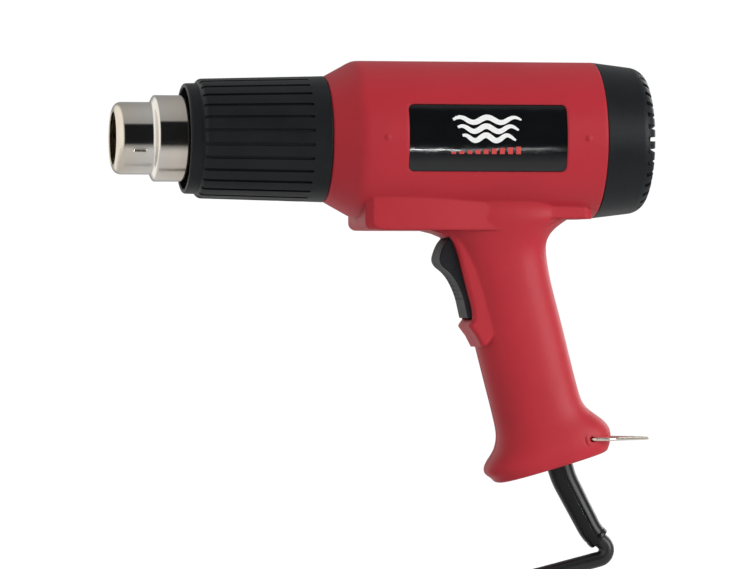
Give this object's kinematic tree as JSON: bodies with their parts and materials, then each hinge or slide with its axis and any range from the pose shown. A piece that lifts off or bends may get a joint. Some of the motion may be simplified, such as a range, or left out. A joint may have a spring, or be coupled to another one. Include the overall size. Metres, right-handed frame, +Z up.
{
  "type": "heat gun",
  "caption": "Pistol-grip hot-air gun with stepped outlet tube, ribbed front sleeve, two-shell body, rocker switch, fan and motor, wire hanging loop, cord and two-pin plug.",
  "frame": {"origin": "centre of the outlet tube's mouth, on the barrel axis", "axes": "+X to the rear along the barrel, +Z up, -Y the operator's left"},
  "size_m": [0.2596, 0.0752, 0.2602],
  "materials": {
    "red_plastic": "fine spark texture",
    "black_plastic": "fine spark texture",
    "gloss_black": "polished",
    "silver_label": "satin film",
    "nickel_steel": "polished nickel, slight heat tint",
    "screw_steel": "zinc plated",
    "mica": "pressed mica",
    "heater_wire": "oxidised resistance wire",
    "ceramic": "unglazed",
    "terminal_metal": "stamped",
    "cutout_metal": "drawn",
    "nylon": "natural glass-filled",
    "fan_plastic": "moulded",
    "motor_steel": "bright zinc",
    "ferrite": "sintered ferrite",
    "bronze": "sintered bronze",
    "copper": "enamelled copper",
    "board": "laminate",
    "diode_black": "moulded epoxy",
    "capacitor": "dipped",
    "rocker_plastic": "fine grain",
    "axle_steel": "ground",
    "switch_plastic": "moulded",
    "loop_wire": "nickel plated wire",
    "boot_pvc": "glossy soft PVC",
    "cord_pvc": "satin PVC",
    "plug_pvc": "satin PVC",
    "pin_metal": "nickel plated brass",
    "core_brown": "extruded",
    "core_blue": "extruded",
    "lead_sleeve": "glass-fibre sleeving",
    "lead_pvc": "extruded"
  },
  "bodies": {
    "gun": {"left_housing": "red_plastic", "right_housing": "red_plastic", "front_sleeve": "black_plastic", "rear_cap": "black_plastic", "label_plate": "gloss_black", "rating_plate": "silver_label", "nozzle_tube": "nickel_steel", "housing_screws": "screw_steel", "tube_screws": "screw_steel", "motor_screws": "screw_steel", "clamp_screws": "screw_steel", "mica_board_a": "mica", "mica_board_b": "mica", "mica_board_c": "mica", "mica_sleeve": "mica", "insulation_ring": "mica", "heater_coil_front": "heater_wire", "heater_coil_rear": "heater_wire", "heater_base": "ceramic", "heater_terminals": "terminal_metal", "switch_terminals": "terminal_metal", "contact_leaf": "terminal_metal", "brush_springs": "terminal_metal", "board_posts": "terminal_metal", "thermal_cutout": "cutout_metal", "fan_housing": "nylon", "motor_end_cap": "nylon", "cord_clamp": "nylon", "motor_can": "motor_steel", "motor_magnets": "ferrite", "motor_bushes": "bronze", "rectifier_board": "board", "rectifier_diodes": "diode_black", "suppression_capacitor": "capacitor", "rocker_axle": "axle_steel", "switch_body": "switch_plastic", "cord_boot": "boot_pvc", "cord_sheath": "cord_pvc", "plug_body": "plug_pvc", "plug_pins": "pin_metal", "live_core": "core_brown", "neutral_core": "core_blue", "heater_leads": "lead_sleeve", "motor_leads": "lead_pvc"},
    "rotor": {"fan_impeller": "fan_plastic", "motor_shaft": "motor_steel", "armature_core": "motor_steel", "armature_windings": "copper", "commutator": "copper"},
    "rocker_lever": {"rocker": "rocker_plastic", "switch_plunger": "switch_plastic"},
    "loop": {"hang_loop": "loop_wire"}
  },
  "joints": [
    {"name": "rocker_tilt", "type": "hinge", "parent": "gun", "child": "rocker_lever", "pos_m": [0.1685, 0, -0.068], "axis": [0, 1, 0], "range_deg": [0, 24]},
    {"name": "fan_spin", "type": "hinge", "parent": "gun", "child": "rotor", "pos_m": [0.175, 0, 0], "axis": [1, 0, 0], "continuous": true},
    {"name": "loop_swing", "type": "hinge", "parent": "gun", "child": "loop", "pos_m": [0.228, 0, -0.1425], "axis": [0, 1, 0], "range_deg": [-50, 25]}
  ]
}
